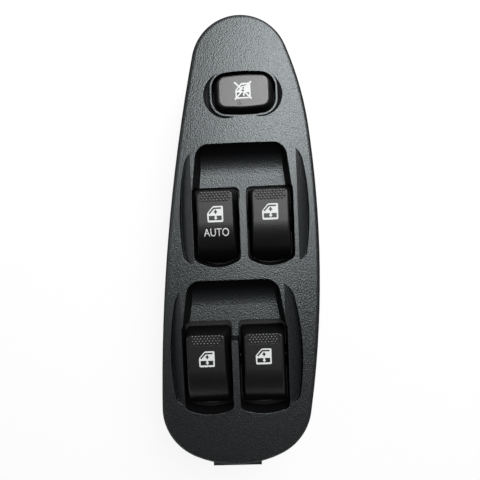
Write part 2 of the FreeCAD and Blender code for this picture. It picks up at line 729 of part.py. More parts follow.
def rectangle(sketch, across, up):
    """A rectangle held by four dimensions from the origin."""
    first = sketch.GeometryCount
    corners = [Vector(0, 0, 0), Vector(1, 0, 0), Vector(1, 1, 0), Vector(0, 1, 0)]
    for start, stop in zip(corners, corners[1:] + corners[:1]):
        sketch.addGeometry(Part.LineSegment(start, stop))
    for number in range(4):
        following = first + (number + 1) % 4
        sketch.addConstraint(Sketcher.Constraint("Coincident", first + number, 2, following, 1))
    for kind, number in (("Horizontal", 0), ("Horizontal", 2), ("Vertical", 1), ("Vertical", 3)):
        sketch.addConstraint(Sketcher.Constraint(kind, first + number))
    for kind, point, place in (("DistanceX", 0, across[0]), ("DistanceX", 2, across[1]),
                               ("DistanceY", 0, up[0]), ("DistanceY", 2, up[1])):
        held = sketch.addConstraint(Sketcher.Constraint(kind, -1, 1, first + point, 1, 1.0))
        sketch.setExpression(f"Constraints[{held}]", formula(place))


def circle(sketch, across, up, radius):
    held = sketch.addGeometry(Part.Circle(Vector(), Vector(0, 0, 1), 1))
    for kind, target in (("DistanceX", across), ("DistanceY", up)):
        number = sketch.addConstraint(Sketcher.Constraint(kind, -1, 1, held, 3, 1.0))
        sketch.setExpression(f"Constraints[{number}]", formula(target))
    number = sketch.addConstraint(Sketcher.Constraint("Radius", held, 1.0))
    sketch.setExpression(f"Constraints[{number}]", formula(radius))


def pad(owner, name, sketch, length):
    grown = owner.newObject("PartDesign::Pad", name)
    grown.Profile = sketch
    grown.setExpression("Length", formula(length))
    return grown


def pocket(owner, name, sketch, depth, upward=False):
    doc.recompute()
    before = owner.Shape.Volume
    sunk = owner.newObject("PartDesign::Pocket", name)
    sunk.Profile = sketch
    sunk.Reversed = upward
    sunk.setExpression("Length", formula(depth))
    doc.recompute()
    if not owner.Shape.Volume < before - 0.01:
        raise RuntimeError(f"{name} cuts nothing")
    return sunk


def ribbon(points, thick):
    """Closed outline of a strip of sheet metal that follows points."""
    left, right = [], []
    for number, here in enumerate(points):
        before = points[max(number - 1, 0)]
        after = points[min(number + 1, len(points) - 1)]
        heading = (after - before).normalize()
        normal = Vector(-heading.y, heading.x, 0)
        inward = heading.getAngle((after - here).normalize()) if 0 < number < len(points) - 1 else 0
        side = normal * (thick / 2 / math.cos(inward))
        left.append(here + side)
        right.append(here - side)
    return polygon(left + right[::-1])


def strip(name, points, thick, width, role, start):
    """A formed strip: its bent line lies in one plane and its width runs across that plane."""
    owner = new_body(name)
    sketch = body_sketch(owner, f"{name}_line", role, start)
    for edge in ribbon([Vector(*point, 0) for point in points], thick):
        sketch.addGeometry(edge)
    pad(owner, f"{name}_strip", sketch, width)
    return owner


def group(name, shapes):
    pieces = doc.addObject("Part::Feature", name)
    pieces.Shape = Part.makeCompound(shapes)
    return pieces


def slider(name, row, side):
    centre, (y, z) = key_centre(row, side), key_pivot(row)
    owner = new_body(name)
    plan = body_sketch(owner, f"{name}_plan", level="slider_low")
    rectangle(plan, (f"{centre} - slider_width / 2", f"{centre} + slider_width / 2"),
              (f"{y} - slider_half", f"{y} + slider_half"))
    pad(owner, f"{name}_block", plan, "slider_high - slider_low")
    slot = body_sketch(owner, f"{name}_slot_plan", level="slider_high")
    rectangle(slot, (f"{centre} - stem_width / 2 - 0.4", f"{centre} + stem_width / 2 + 0.4"),
              (f"{y} - tip_radius - pivot_play", f"{y} + tip_radius + pivot_play"))
    pocket(owner, f"{name}_slot", slot, "slider_high - tip_level + tip_radius + 0.3")
    return owner


def bridge(name, row, side):
    """Spring contact under a slider: it touches the tracks at two bent feet."""
    centre, (y, z) = key_centre(row, side), key_pivot(row)
    under = size("slider_low") - 0.16
    touch = size("board_level") + size("board_thick") + size("track_thick") + 0.25
    points = [(y - 5.4, touch + 0.5), (y - 4.6, touch), (y - 3.8, touch + 0.3), (y - 2.2, under),
              (y + 2.2, under), (y + 3.8, touch + 0.3), (y + 4.6, touch), (y + 5.4, touch + 0.5)]
    return strip(name, points, 0.3, "4.4", "YZ_Plane", centre - 2.2)


def centring_springs(name, row, side):
    """Two bent leaves, one at each end of the slider, against the ends of its guide."""
    centre, (y, z) = key_centre(row, side), key_pivot(row)
    leaves = []
    for way in (-1, 1):
        wall, touch = y + way * (size("guide_room") - 0.15), y + way * (size("slider_half") + 0.15)
        points = [Vector(centre - 3.2, wall, 0), Vector(centre - 1.2, touch + way * 0.5, 0),
                  Vector(centre, touch, 0), Vector(centre + 1.2, touch + way * 0.5, 0),
                  Vector(centre + 3.2, wall, 0)]
        leaf = Part.Face(Part.Wire([edge.toShape() for edge in ribbon(points, 0.25)]))
        leaf.translate(Vector(0, 0, size("guide_low") + 0.5))
        leaves.append(leaf.extrude(Vector(0, 0, 3)))
    return group(name, leaves)


def slider_guide(name, row):
    y, z = key_pivot(row)
    left, right = key_centre(row, -1), key_centre(row, 1)
    owner = new_body(name)
    wall = "(guide_wall + slider_width / 2 + slide_play)"
    plan = body_sketch(owner, f"{name}_plan", level="guide_low")
    rectangle(plan, (f"{left} - {wall}", f"{right} + {wall}"),
              (f"{y} - guide_room - guide_wall", f"{y} + guide_room + guide_wall"))
    pad(owner, f"{name}_frame", plan, "guide_high - guide_low")
    lanes = body_sketch(owner, f"{name}_lanes_plan", level="guide_high")
    for centre in (left, right):
        half = "(slider_width / 2 + slide_play)"
        rectangle(lanes, (f"{centre} - {half}", f"{centre} + {half}"), (f"{y} - guide_room", f"{y} + guide_room"))
    pocket(owner, f"{name}_lanes", lanes, "guide_high - guide_low")
    middle_x = (left + right) / 2
    window = body_sketch(owner, f"{name}_window_plan", level="guide_high")
    rectangle(window, (f"{middle_x} - 5.5", f"{middle_x} + 5.5"), (f"{y} - 8.5", f"{y} + 8.5"))
    pocket(owner, f"{name}_window", window, "guide_high - guide_low")
    feet = body_sketch(owner, f"{name}_feet_plan", level="board_level + board_thick")
    for across in (f"{left} - slider_width / 2 - slide_play - guide_wall / 2", f"{middle_x}",
                   f"{right} + slider_width / 2 + slide_play + guide_wall / 2"):
        for way in (-1, 1):
            circle(feet, across, f"{y} + {way} * (guide_room + guide_wall / 2)", "guide_wall / 2")
    pad(owner, f"{name}_feet", feet, "guide_low + 0.5 - board_level - board_thick")
    return owner


# Switch body, rear cover and circuit board

cover_screws = [(-24.6, -70.6), (18.4, -70.6), (24.4, 43.2), (-14.4, 43.2), (6.0, 75.3)]


def body_plan(grow=0.0):
    top, foot = size("body_top") + grow, size("body_foot") - grow
    corners = [Vector(size("body_top_right") + grow, top, 0), Vector(size("body_top_left") - grow, top, 0),
               Vector(size("body_foot_left") - grow, foot, 0), Vector(size("body_foot_right") + grow, foot, 0)]
    return rounded_polygon(corners, max(size("body_corner") + grow, 0.8))


def bay_plan(grow=0.0):
    left, right = size("lock_bay_left") - grow, size("lock_bay_right") + grow
    top, foot = size("lock_bay_top") + grow, size("body_top") - 8
    return rounded_polygon([Vector(right, top, 0), Vector(left, top, 0), Vector(left, foot, 0),
                            Vector(right, foot, 0)], max(size("body_corner") + grow, 0.8))


def body_prism(name, grow, low, high):
    return join(name, prism(f"{name}_main", body_plan(grow), low, high),
                prism(f"{name}_bay", bay_plan(grow), low, high))


def post(name, x, y, radius, low, high):
    return rod(name, radius, (str(x), str(y), low), f"({high}) - ({low})")


def switch_housing():
    shell = body_prism("housing_block", 0, "cover_plate", "rim_level")
    hollow = body_prism("housing_hollow", -size("body_wall"), "0", "rim_level - deck")
    solids = [cut("housing_shell", shell, hollow)]
    holes = []
    for row in rows:
        y, z = key_pivot(row)
        half = size(f"{row}_opening") / 2
        for side, tag in ((-1, "left"), (1, "right")):
            centre = key_centre(row, side)
            holes.append(prism(f"housing_{row}_{tag}_opening", key_opening(row, side), "tub_floor",
                               "rim_level + 1"))
            solids.append(prism(f"housing_{row}_{tag}_tub", key_opening(row, side, size("tub_wall")),
                                "tub_floor - tub_plate", "rim_level - deck / 2"))
            holes.append(block(f"housing_{row}_{tag}_slot", (centre - half, centre + half),
                               (f"{y} - tub_slot", f"{y} + tub_slot"),
                               ("tub_floor - tub_plate - 1", "tub_floor + 1")))
            for way in (-1, 1):
                inner = half + 0.05 if way > 0 else -half - size("bearing_wall")
                start = centre + inner
                solids.append(block(f"housing_{row}_{tag}_bearing_{way + 1}",
                                    (start, start + size("bearing_wall") - 0.05),
                                    (f"{y} - bearing_half", f"{y} + bearing_half"),
                                    ("bearing_foot", "rim_level - deck / 2")))
        start = key_centre(row, -1) - half - 3
        holes.append(rod(f"housing_{row}_pivot_bore", "pivot_radius + pivot_play", (start, y, z),
                         key_centre(row, 1) - start + half + 3, "x"))
    holes.append(block("housing_plunger_hole", ("lock_x - plunger_half - 0.3", "lock_x + plunger_half + 0.3"),
                       ("lock_y - plunger_half - 0.3", "lock_y + plunger_half + 0.3"),
                       ("rim_level - deck - 1", "rim_level + 1")))
    for number, (x, y) in enumerate(cover_screws):
        solids.append(post(f"housing_post_{number}", x, y, "boss_radius", "4", "rim_level - deck / 2"))
        holes.append(post(f"housing_pilot_{number}", x, y, "screw_radius", "3", "13"))
    for number, (x, y) in enumerate(panel_screws):
        inward = -6.0 if y > 0 else 8.5
        low, high = sorted((y, y + inward))
        level, half = ("rim_level - deck", "rim_level"), size("ear_half")
        solids.append(block(f"housing_ear_{number}", (x - half, x + half), (low, high), level))
        solids.append(post(f"housing_ear_end_{number}", x, y, "ear_half", *level))
        holes.append(post(f"housing_ear_hole_{number}", x, y, "screw_radius", "rim_level - deck - 1",
                          "rim_level + 1"))
    holes.append(block("housing_header_window", ("header_left", "header_right"), ("body_foot - 1", "body_foot + 3"),
                       ("board_level + board_thick", "header_high")))
    return cut("switch_housing", join("housing_solids", *solids), *holes)


def rear_cover():
    plate = body_prism("cover_block", 0, "0", "cover_plate")
    inset = -size("body_wall") - 0.1
    lip = cut("cover_lip", body_prism("cover_lip_block", inset, "cover_plate - 0.5", "cover_plate + 1.6"),
              body_prism("cover_lip_hollow", inset - 1.2, "0", "cover_plate + 3"))
    solids, holes = [plate, lip], []
    for number, (x, y) in enumerate(cover_screws):
        solids.append(post(f"cover_boss_{number}", x, y, "boss_radius + 0.2", "0", "4"))
        holes.append(post(f"cover_hole_{number}", x, y, "screw_radius", "0", "5"))
        holes.append(post(f"cover_sink_{number}", x, y, "screw_head_radius + 0.2", "-1", "screw_head + 0.3"))
    for number, (x, y) in enumerate(((-20, -45), (16, -45), (-14, 10), (20, 10), (4, 35), (6, 62))):
        solids.append(post(f"cover_rest_{number}", x, y, "1.8", "1", "board_level"))
    return cut("rear_cover", join("cover_solids", *solids), *holes)


def circuit_board():
    owner = new_body("circuit_board")
    gap = size("body_wall") + size("board_gap")
    plan = body_sketch(owner, "board_plan", level="board_level")
    for edge in body_plan(-gap):
        plan.addGeometry(edge)
    pad(owner, "board_main", plan, "board_thick")
    bay = body_sketch(owner, "board_bay_plan", level="board_level")
    for edge in bay_plan(-gap):
        bay.addGeometry(edge)
    pad(owner, "board_bay", bay, "board_thick")
    notches = body_sketch(owner, "board_notch_plan", level="board_level + board_thick")
    room = size("boss_radius") + 0.9
    for x, y in cover_screws[:4]:
        across = (x - room, x + 9) if x > size("end_x") else (x - 9, x + room)
        rectangle(notches, across, (y - room, y + 9) if y > 0 else (y - 9, y + room))
    x, y = cover_screws[4]
    circle(notches, x, y, room)
    pocket(owner, "board_notches", notches, "board_thick")
    holes = body_sketch(owner, "board_pin_holes_plan", level="board_level + board_thick")
    for x, level, back in pin_places():
        rectangle(holes, (f"{x} - pin_side / 2", f"{x} + pin_side / 2"), (f"{back} - pin_side", f"{back}"))
    pocket(owner, "board_pin_holes", holes, "board_thick")
    return owner


def tracks():
    """Tinned contact tracks under the sliders: two feeds and one motor lead to each key."""
    low, high = size("board_level") + size("board_thick"), size("track_thick")
    shapes = []
    for row in rows:
        y = key_pivot(row)[0]
        for side in (-1, 1):
            centre = key_centre(row, side)
            for start, length in ((-8.0, 2.4), (-4.9, 9.8), (5.6, 2.4)):
                shapes.append(Part.makeBox(4.6, length, high, Vector(centre - 2.3, y + start, low)))
    return group("contact_tracks", shapes)


def relay(name, left):
    owner = new_body(name)
    plan = body_sketch(owner, f"{name}_plan", level="board_level + board_thick")
    rectangle(plan, (left, f"{left} + relay_width"), ("29.5", "29.5 + relay_length"))
    can = pad(owner, f"{name}_can", plan, "relay_height")
    doc.recompute()
    rounding = owner.newObject("PartDesign::Fillet", f"{name}_rounding")
    high = size("board_level") + size("board_thick") + size("relay_height") - 0.01
    names = [f"Edge{number}" for number, edge in enumerate(can.Shape.Edges, start=1) if edge.BoundBox.ZMax > high]
    rounding.Base = (can, names)
    rounding.Radius = 0.7
    return owner


def capacitor():
    owner = new_body("capacitor")
    sketch = body_sketch(owner, "capacitor_half_section", "XZ_Plane", "-capacitor_y")
    x, base = size("capacitor_x"), size("board_level") + size("board_thick")
    radius, height = size("capacitor_radius"), size("capacitor_height")
    rim = [(0, 0), (radius, 0), (radius, 1.4), (radius - 0.5, 2.0), (radius, 2.6), (radius, height - 0.5),
           (radius - 0.5, height), (0, height)]
    for edge in polygon([Vector(x + across, base + up, 0) for across, up in rim]):
        sketch.addGeometry(edge)
    turned = owner.newObject("PartDesign::Revolution", "capacitor_can")
    turned.Profile = sketch
    turned.ReferenceAxis = (sketch, ["Edge8"])
    turned.Angle = 360
    return owner


def control_chip():
    owner = new_body("control_chip")
    plan = body_sketch(owner, "chip_plan", level="board_level + board_thick + 0.1")
    rectangle(plan, ("chip_x - chip_width / 2", "chip_x + chip_width / 2"),
              ("chip_y - chip_length / 2", "chip_y + chip_length / 2"))
    pad(owner, "chip_case", plan, "chip_height")
    foot = body_sketch(owner, "chip_lead_plan", level="board_level + board_thick")
    for way in (-1, 1):
        lead = f"chip_x + {way} * (chip_width / 2 + 0.6)"
        rectangle(foot, (f"{lead} - 0.7", f"{lead} + 0.7"),
                  ("chip_y - chip_length / 2 + 0.8", "chip_y - chip_length / 2 + 1.4"))
    leads = pad(owner, "chip_leads", foot, "1.1")
    row = owner.newObject("PartDesign::LinearPattern", "chip_lead_row")
    row.Originals = [leads]
    plane = next(item for item in owner.Origin.OriginFeatures if item.Role == "Y_Axis")
    row.Direction = (plane, [""])
    row.Length = 10.4
    row.Occurrences = 7
    owner.Tip = row
    return owner


pin_rows = {"pin_low_row": -66.3, "pin_high_row": -65.1}


def pin_places():
    """Middle of each blade along X, the sheet name of its level, and the back of its leg."""
    centre = (size("header_left") + size("header_right")) / 2
    return [(centre + (number - 3) * size("pin_pitch"), level, back)
            for level, back in pin_rows.items() for number in range(7)]


def connector_header():
    owner = new_body("connector_header")
    low = "(board_level + board_thick)"
    plan = body_sketch(owner, "header_plan", level=low)
    rectangle(plan, ("header_left", "header_right"), ("header_front", "header_back"))
    pad(owner, "header_block", plan, f"header_high - {low}")
    mouth = body_sketch(owner, "header_mouth_plan", "XZ_Plane", "-header_front")
    rectangle(mouth, ("header_left + header_wall", "header_right - header_wall"),
              (f"{low} + header_wall", "header_high - header_wall"))
    pocket(owner, "header_mouth", mouth, "header_back - header_front - header_web")
    key_slot = body_sketch(owner, "header_key_plan", "XZ_Plane", "-header_front")
    middle_x = "(header_left + header_right) / 2"
    rectangle(key_slot, (f"{middle_x} - 2", f"{middle_x} + 2"), ("header_high - header_wall - 0.5", "header_high"))
    pocket(owner, "header_key_slot", key_slot, "5")
    holes = body_sketch(owner, "header_pin_holes_plan", "XZ_Plane", "-header_front")
    for x, level, back in pin_places():
        rectangle(holes, (f"{x} - pin_side / 2", f"{x} + pin_side / 2"), (level, f"{level} + pin_side"))
    pocket(owner, "header_pin_holes", holes, "header_back - header_front + 1")
    return owner


def connector_pins():
    """Two rows of blades, each bent down at the back of the header and through the board."""
    side = size("pin_side")
    shapes = []
    foot = size("board_level") - 1.4
    for x, level, back in pin_places():
        level = size(level)
        blade = Part.makeBox(side, back - size("pin_tip"), side, Vector(x - side / 2, size("pin_tip"), level))
        leg = Part.makeBox(side, side, level + side - foot, Vector(x - side / 2, back - side, foot))
        shapes.append(blade.fuse(leg).removeSplitter())
    return group("connector_pins", shapes)


# Lock switch behind the lock button

def lock_case():
    owner = new_body("lock_switch_case")
    plan = body_sketch(owner, "lock_case_plan", level="board_level + board_thick")
    rectangle(plan, ("lock_x - case_half", "lock_x + case_half"), ("lock_y - case_half", "lock_y + case_half"))
    pad(owner, "lock_case_block", plan, "case_high - board_level - board_thick")
    well = body_sketch(owner, "lock_case_well_plan", level="case_high")
    rectangle(well, ("lock_x - plunger_half - 0.3", "lock_x + plunger_half + 0.3"),
              ("lock_y - plunger_half - 0.3", "lock_y + plunger_half + 0.3"))
    pocket(owner, "lock_case_well", well, "case_high - board_level - board_thick - 1")
    bay = body_sketch(owner, "lock_case_bay_plan", level="case_high - 4")
    rectangle(bay, ("lock_x - case_half + 1", "lock_x + case_half - 1"),
              ("lock_y - plunger_half - 0.3", "lock_y + plunger_half + 0.3"))
    pocket(owner, "lock_case_bay", bay, "case_high - board_level - board_thick - 5")
    groove = body_sketch(owner, "lock_case_groove_plan", level="case_high")
    rectangle(groove, ("lock_x - 0.5", "lock_x + 0.5"), ("lock_y - plunger_half - 1.3", "lock_y - plunger_half"))
    pocket(owner, "lock_case_groove", groove, "case_high - board_level - board_thick - 1")
    return owner


def lock_plunger():
    owner = new_body("lock_plunger")
    plan = body_sketch(owner, "plunger_plan", level="plunger_low")
    rectangle(plan, ("lock_x - plunger_half", "lock_x + plunger_half"),
              ("lock_y - plunger_half", "lock_y + plunger_half"))
    pad(owner, "plunger_stem", plan, "lock_face_level - 3 - plunger_low")
    track = body_sketch(owner, "heart_track_plan", "XZ_Plane", "-(lock_y - plunger_half)")
    low = size("plunger_low") + 1
    x = size("lock_x")
    for edge in polygon([Vector(x - 1.6, low, 0), Vector(x + 1.6, low, 0), Vector(x + 1.6, low + 5, 0),
                         Vector(x - 1.6, low + 5, 0)]):
        track.addGeometry(edge)
    island = [Vector(x, low + 1.1, 0), Vector(x + 0.7, low + 2.6, 0), Vector(x + 0.35, low + 3.4, 0),
              Vector(x, low + 3.0, 0), Vector(x - 0.35, low + 3.4, 0), Vector(x - 0.7, low + 2.6, 0)]
    for edge in polygon(island):
        track.addGeometry(edge)
    pocket(owner, "heart_track", track, "0.8")
    return owner


def lock_latch_wire():
    """Spring wire that stands in a groove of the case and hooks into the plunger's heart track."""
    x, y = "lock_x", "lock_y - plunger_half - 0.8"
    wire, hook = "0.3", "plunger_low + 1.55"
    stand = rod("latch_stand", wire, (x, y, "board_level + board_thick + 1"),
                f"{hook} - board_level - board_thick - 1")
    arm = rod("latch_arm", wire, (x, y, hook), "1.35", "y")
    elbow = doc.addObject("Part::Sphere", "latch_elbow")
    elbow.setExpression("Radius", wire)
    for axis, place in zip("xyz", (x, y, hook)):
        elbow.setExpression(f"Placement.Base.{axis}", formula(place))
    return join("lock_latch_wire", stand, arm, elbow)


def lock_contact():
    """Contact bridge under the plunger: its feet rest on the case floor side of the well."""
    x, y = size("lock_x"), size("lock_y")
    top = size("plunger_low") - 0.2
    points = [(x - 3.7, top - 1.2), (x - 3.1, top - 1.5), (x - 1.9, top), (x + 1.9, top), (x + 3.1, top - 1.5),
              (x + 3.7, top - 1.2)]
    return strip("lock_contact", points, 0.3, "3", "XZ_Plane", -y - 1.5)


# Spring clip and screws

def retaining_clip():
    line, foot = size("clip_line"), size("clip_foot") - 0.25
    points = [(line - 3.2, foot + 6.2), (line - 3.9, foot + 4.6), (line - 1.4, foot), (line + 1.4, foot),
              (line + 3.9, foot + 4.6), (line + 3.2, foot + 6.2)]
    return strip("retaining_clip", points, 0.5, "8", "YZ_Plane", size("end_x") - 4)


def screws(name, places, head_level, length):
    """Pan-head screws that point up: head below, shank with a blunt tip."""
    radius, head, head_radius = size("screw_radius"), size("screw_head"), size("screw_head_radius")
    shapes = []
    for x, y in places:
        profile = [(0, 0), (head_radius - 0.4, 0), (head_radius, 0.5), (head_radius, head), (radius, head),
                   (radius, head + length - 0.8), (radius - 0.7, head + length), (0, head + length)]
        face = Part.Face(Part.makePolygon([Vector(across, 0, up) for across, up in profile + profile[:1]]))
        screw = face.revolve(Vector(), Vector(0, 0, 1), 360)
        slot = Part.makeBox(0.8, 3.4, 0.8, Vector(-0.4, -1.7, -0.01))
        screw = screw.cut(slot.fuse(slot.rotated(Vector(), Vector(0, 0, 1), 90)))
        shapes.append(screw.translated(Vector(x, y, head_level)))
    return group(name, shapes)


# The whole switch

pieces = {
    "bezel": panel(),
    "switch_housing": switch_housing(),
    "rear_cover": rear_cover(),
    "circuit_board": circuit_board(),
    "contact_tracks": tracks(),
    "front_slider_guide": slider_guide("front_slider_guide", "front"),
    "rear_slider_guide": slider_guide("rear_slider_guide", "rear"),
    "auto_up_relay": relay("auto_up_relay", "-9.8"),
    "auto_down_relay": relay("auto_down_relay", "4.6"),
    "control_chip": control_chip(),
    "capacitor": capacitor(),
    "connector_header": connector_header(),
    "connector_pins": connector_pins(),
    "lock_button": lock_button(),
    "lock_plunger": lock_plunger(),
    "lock_contact": lock_contact(),
    "lock_latch_wire": lock_latch_wire(),
    "lock_spring": lock_spring(),
    "lock_switch_case": lock_case(),
    "retaining_clip": retaining_clip(),
    "panel_screws": screws("panel_screws", panel_screws,
                           size("rim_level") - size("deck") - size("screw_head"), 8.0),
    "cover_screws": screws("cover_screws", cover_screws, 0.3, 10.0),
}
for key, row, side in (("auto", "front", -1), ("front", "front", 1),
                       ("rear_left", "rear", -1), ("rear_right", "rear", 1)):
    pieces[f"{key}_window_key"] = window_key(f"{key}_window_key", row, side)
    pieces[f"{key}_slider"] = slider(f"{key}_slider", row, side)
    pieces[f"{key}_contact_bridge"] = bridge(f"{key}_contact_bridge", row, side)
    pieces[f"{key}_springs"] = centring_springs(f"{key}_springs", row, side)

doc.recompute()
for item in doc.Objects:
    if "Invalid" in item.State or "Error" in item.State:
        raise RuntimeError(f"{item.Name} failed: {item.State}")
os.makedirs("parts", exist_ok=True)
for node, piece in pieces.items():
    piece.Label = node
    if piece.Shape.isNull() or not piece.Shape.isValid():
        raise RuntimeError(f"{node} has no valid shape")
    print(node, len(piece.Shape.Solids), round(piece.Shape.Volume, 1))
for node, piece in pieces.items():
    piece.Shape.exportStep(f"parts/{node}.step")
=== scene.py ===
import json
import math

import bmesh
import bpy
from mathutils import Matrix, Vector


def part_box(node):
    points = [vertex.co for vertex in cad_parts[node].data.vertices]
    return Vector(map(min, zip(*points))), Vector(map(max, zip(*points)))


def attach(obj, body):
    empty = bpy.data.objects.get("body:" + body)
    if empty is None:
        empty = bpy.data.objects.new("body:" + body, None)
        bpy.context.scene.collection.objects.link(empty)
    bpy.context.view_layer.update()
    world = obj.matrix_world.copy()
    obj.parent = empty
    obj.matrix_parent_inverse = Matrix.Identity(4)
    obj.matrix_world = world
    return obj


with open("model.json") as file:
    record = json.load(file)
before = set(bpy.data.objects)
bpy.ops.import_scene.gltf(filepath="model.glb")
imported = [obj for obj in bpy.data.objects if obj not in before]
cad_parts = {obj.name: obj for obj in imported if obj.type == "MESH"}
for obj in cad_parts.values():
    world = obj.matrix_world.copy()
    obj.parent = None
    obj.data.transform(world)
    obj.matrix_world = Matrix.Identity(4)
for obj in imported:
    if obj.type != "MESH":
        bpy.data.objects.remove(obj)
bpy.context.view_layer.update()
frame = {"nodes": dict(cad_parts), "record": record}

# Power window switch: the trim panel, keys and switch body come with the frame.
# This script gives them their finishes and adds grips, printed signs and the studio.

print("frame loaded:", len(frame["nodes"]), "nodes")


# Shader tools

class Signal:  # a socket that takes part in sums
    def __init__(self, finish, socket):
        self.finish = finish
        self.socket = socket

    def combine(self, operation, first, second):
        return self.finish.node("ShaderNodeMath", {"operation": operation}, {0: first, 1: second})

    def __add__(self, other):
        return self.combine("ADD", self, other)

    def __radd__(self, other):
        return self.combine("ADD", other, self)

    def __sub__(self, other):
        return self.combine("SUBTRACT", self, other)

    def __rsub__(self, other):
        return self.combine("SUBTRACT", other, self)

    def __mul__(self, other):
        return self.combine("MULTIPLY", self, other)

    def __rmul__(self, other):
        return self.combine("MULTIPLY", other, self)


class Finish:  # a material or a world, and the one way nodes are added to it
    def __init__(self, owner, surface="Principled BSDF"):
        owner.use_nodes = True
        self.owner = owner
        self.tree = owner.node_tree
        self.surface = self.tree.nodes[surface]

    def feed(self, socket, value):
        if isinstance(value, Signal):
            self.tree.links.new(value.socket, socket)
        else:
            socket.default_value = value

    def node(self, kind, settings, values, output=0):
        added = self.tree.nodes.new(kind)
        for name, value in settings.items():
            setattr(added, name, value)
        for name, value in values.items():
            self.feed(added.inputs[name], value)
        return Signal(self, added.outputs[output])

    def setSurface(self, values):
        for name, value in values.items():
            self.feed(self.surface.inputs[name], value)

    def place(self):
        return self.node("ShaderNodeTexCoord", {}, {}, "Object")

    def noise(self, scale, detail=2.0, roughness=0.5):
        return self.node("ShaderNodeTexNoise", {}, {"Vector": self.place(), "Scale": scale, "Detail": detail,
                                                    "Roughness": roughness})

    def spread(self, signal, low, high, toLow=0.0, toHigh=1.0):
        return self.node("ShaderNodeMapRange", {}, {"Value": signal, "From Min": low, "From Max": high,
                                                    "To Min": toLow, "To Max": toHigh})

    def blendColours(self, factor, first, second):
        return self.node("ShaderNodeMix", {"data_type": "RGBA"},
                         {"Factor": factor, "A": (*first, 1), "B": (*second, 1)}, "Result")

    def relief(self, height, strength, distance, edge=0.0):
        values = {"Height": height, "Strength": strength, "Distance": distance}
        if edge:
            values["Normal"] = self.node("ShaderNodeBevel", {"samples": 6}, {"Radius": edge})
        self.setSurface({"Normal": self.node("ShaderNodeBump", {}, values)})

    def heightOf(self, vector):
        return self.node("ShaderNodeSeparateXYZ", {}, {"Vector": vector}, "Z")

    def ray(self, name):
        return self.node("ShaderNodeLightPath", {}, {}, f"Is {name} Ray")

    def shader(self):
        return Signal(self, self.surface.outputs[0])

    def mixShaders(self, factor, first, second):
        return self.node("ShaderNodeMixShader", {}, {0: factor, 1: first, 2: second})

    def show(self, shader):
        self.feed(self.tree.nodes["Material Output"].inputs["Surface"], shader)


grainMix = {"cells": 0.6, "coarse": 0.7, "coarseSize": 2.0, "cellSmoothness": 0.3, "cloudScale": 14.0,
            "cloudShare": 0.5, "smoother": 0.05, "rougher": 0.07}


def plastic(name, look):
    finish = Finish(bpy.data.materials.new(name))
    perMetre = 1000 / look["grainSize"]
    cells = finish.node("ShaderNodeTexVoronoi", {"feature": "SMOOTH_F1"},
                        {"Vector": finish.place(), "Scale": perMetre,
                         "Smoothness": grainMix["cellSmoothness"]},
                        "Distance")
    coarse = finish.noise(perMetre / grainMix["coarseSize"], 3.0, 0.65)
    grain = cells * grainMix["cells"] + coarse * grainMix["coarse"]
    cloud = finish.spread(finish.noise(grainMix["cloudScale"]), 0.35, 0.65)
    tone = cloud * grainMix["cloudShare"] + finish.spread(grain, 0.3, 0.8) * (1 - grainMix["cloudShare"])
    finish.setSurface({"Base Color": finish.blendColours(tone, look["dark"], look["light"]),
                       "Roughness": finish.spread(grain, 0.2, 0.9, look["roughness"] - grainMix["smoother"],
                                                  look["roughness"] + grainMix["rougher"]),
                       "Specular IOR Level": look["gloss"],
                       "Specular Tint": look.get("tint", (1, 1, 1)) + (1,)})
    finish.relief(grain, look["grainStrength"], look["grainDepth"] / 1000, look.get("edge", 0) / 1000)
    # steep walls are darkened by their slope: painted shade
    if "wall" in look:
        paintedWallShade(finish, look["wall"])
    return finish.owner


def paintedWallShade(finish, wall):  # painted shade: steep walls get a darker, matt surface mixed in, less glossy than the grained faces
    wallShadeSurface = finish.node("ShaderNodeBsdfPrincipled", {}, {"Base Color": wall["colour"] + (1,),
                                                        "Roughness": wall["roughness"],
                                                        "Specular IOR Level": wall["gloss"]})
    rise = finish.heightOf(finish.node("ShaderNodeNewGeometry", {}, {}, "Normal"))
    steep = 1 - finish.spread(rise, *wall["steep"])
    finish.show(finish.mixShaders(steep, finish.shader(), wallShadeSurface))


def metal(name, look):
    finish = Finish(bpy.data.materials.new(name))
    brushed = finish.noise(900.0, 3.0, 0.6)
    tone = finish.spread(brushed, 0.3, 0.7)
    finish.setSurface({"Base Color": finish.blendColours(tone, look["dark"], look["light"]),
                       "Metallic": 1.0,
                       "Roughness": finish.spread(brushed, 0.2, 0.8, look["roughness"] - 0.06,
                                                  look["roughness"] + 0.08)})
    finish.relief(brushed, 0.15, 0.00003)
    return finish.owner


# Looks: colours from dark to light; grain size, grain depth and edge in mm

